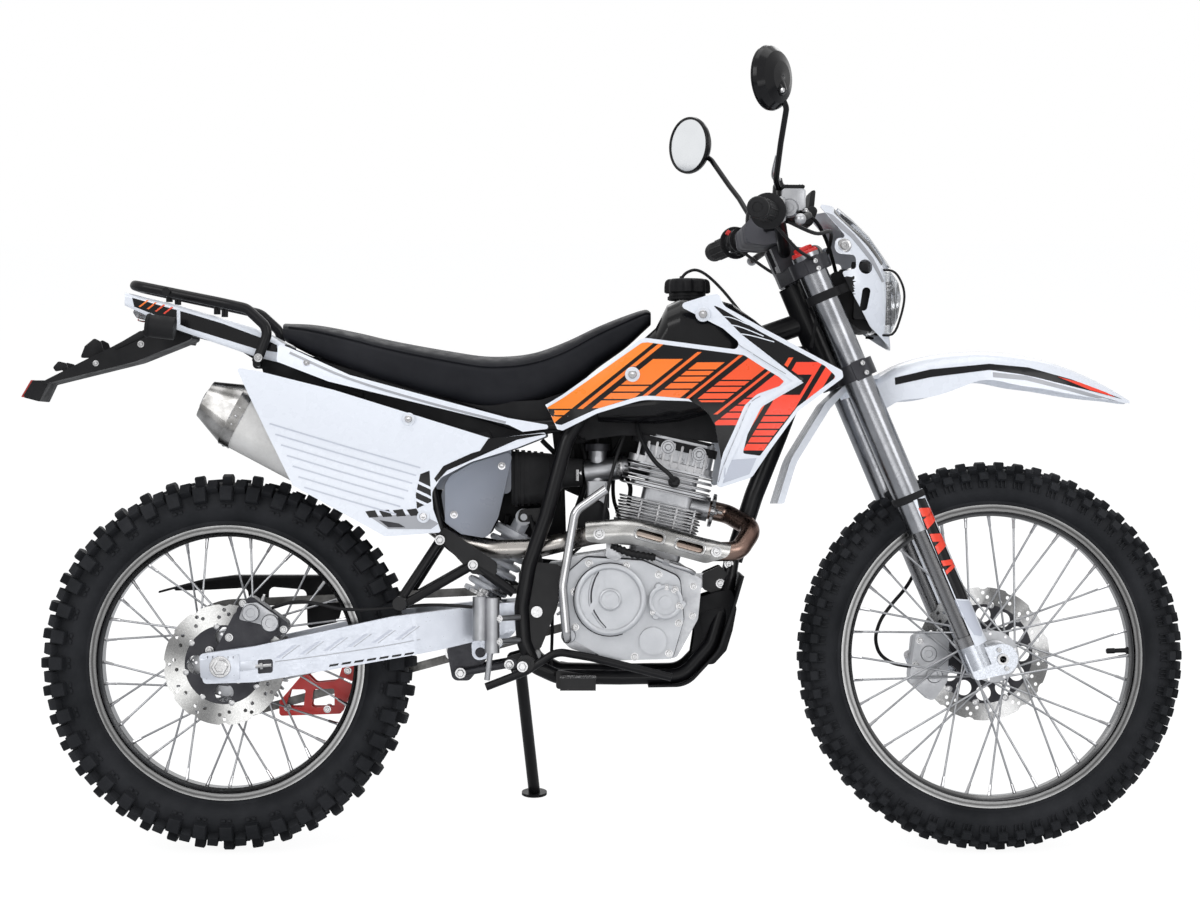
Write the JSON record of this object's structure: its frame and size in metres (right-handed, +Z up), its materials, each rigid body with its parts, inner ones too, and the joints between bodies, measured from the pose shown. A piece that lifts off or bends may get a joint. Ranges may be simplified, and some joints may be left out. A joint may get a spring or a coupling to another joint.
{
  "type": "enduro motorcycle",
  "caption": "Single-cylinder enduro motorcycle with laced wheels, long-travel fork, high exhaust, luggage rack and road kit, leaning on its side stand.",
  "frame": {"origin": "on the ground under the middle of the bounding box of the parked, leaning motorcycle", "axes": "+X forward along the wheels, +Y to the motorcycle's left, +Z up; the motorcycle leans 11 degrees to +Y"},
  "size_m": [2.0729, 0.8358, 1.4358],
  "materials": {
    "black_aluminium": "black anodised",
    "black_plastic": "satin",
    "black_steel": "satin black paint",
    "bright_steel": "brushed",
    "clear_lens": "clear moulded plastic",
    "red_plastic": "satin",
    "seat_cover": "fine grained vinyl",
    "silver_aluminium": "satin",
    "soft_rubber": "matt",
    "tyre_rubber": "matt",
    "white_plastic": "gloss"
  },
  "bodies": {
    "root": {"airbox": "black_plastic", "carburettor": "black_aluminium", "chain_guard": "black_plastic", "chain_guide": "red_plastic", "cylinder": "silver_aluminium", "drive_chain": "bright_steel", "engine_case": "silver_aluminium", "engine_covers": "silver_aluminium", "exhaust_pipe": "bright_steel", "foot_controls": "black_steel", "foot_pegs": "black_steel", "fuel_cap": "black_plastic", "fuel_tank": "black_plastic", "heat_shield": "bright_steel", "intake_boot": "soft_rubber", "kick_starter": "silver_aluminium", "luggage_rack": "black_steel", "main_frame": "black_steel", "plate_holder": "black_plastic", "rear_axle": "bright_steel", "rear_brake_hose": "soft_rubber", "rear_caliper": "silver_aluminium", "rear_fender": "white_plastic", "rear_indicators": "black_plastic", "rear_master_cylinder": "silver_aluminium", "seat": "seat_cover", "shock_absorber": "bright_steel", "shrouds": "white_plastic", "side_panels": "white_plastic", "silencer": "bright_steel", "skid_plate": "black_plastic", "subframe": "black_steel", "suspension_linkage": "black_steel", "swingarm": "silver_aluminium", "tail_light": "clear_lens"},
    "steering": {"triple_clamps": "black_aluminium", "fork_tubes": "silver_aluminium", "fork_legs": "silver_aluminium", "fork_guards": "white_plastic", "front_axle": "bright_steel", "handlebar": "black_steel", "grips": "soft_rubber", "bar_controls": "black_plastic", "bar_pad": "soft_rubber", "front_caliper": "silver_aluminium", "front_brake_hose": "soft_rubber", "headlight_mask": "white_plastic", "headlight": "clear_lens", "front_fender": "white_plastic", "mirrors": "black_plastic"},
    "front_wheel": {"front_tyre": "tyre_rubber", "front_rim": "bright_steel", "front_hub": "silver_aluminium", "front_disc": "bright_steel"},
    "rear_wheel": {"rear_tyre": "tyre_rubber", "rear_rim": "bright_steel", "rear_hub": "silver_aluminium", "rear_disc": "bright_steel", "rear_sprocket": "bright_steel"},
    "side_stand": {"side_stand": "black_steel"}
  },
  "joints": [
    {"name": "steering", "type": "hinge", "parent": "root", "child": "steering", "pos_m": [0.36944, -0.04751, 0.91312], "axis": [-0.3907, 0.1756, 0.9036], "range_deg": [-45, 39]},
    {"name": "front_wheel_spin", "type": "hinge", "parent": "steering", "child": "front_wheel", "pos_m": [0.68892, -0.155, 0.34175], "axis": [-0.0482, 0.9764, -0.2106], "continuous": true},
    {"name": "rear_wheel_spin", "type": "hinge", "parent": "root", "child": "rear_wheel", "pos_m": [-0.676, -0.1605, 0.33182], "axis": [0, 0.9816, -0.1908], "continuous": true},
    {"name": "side_stand", "type": "hinge", "parent": "root", "child": "side_stand", "pos_m": [-0.158, -0.03399, 0.2909], "axis": [0.1363, 0.896, 0.4227], "range_deg": [0, 96.88]}
  ]
}
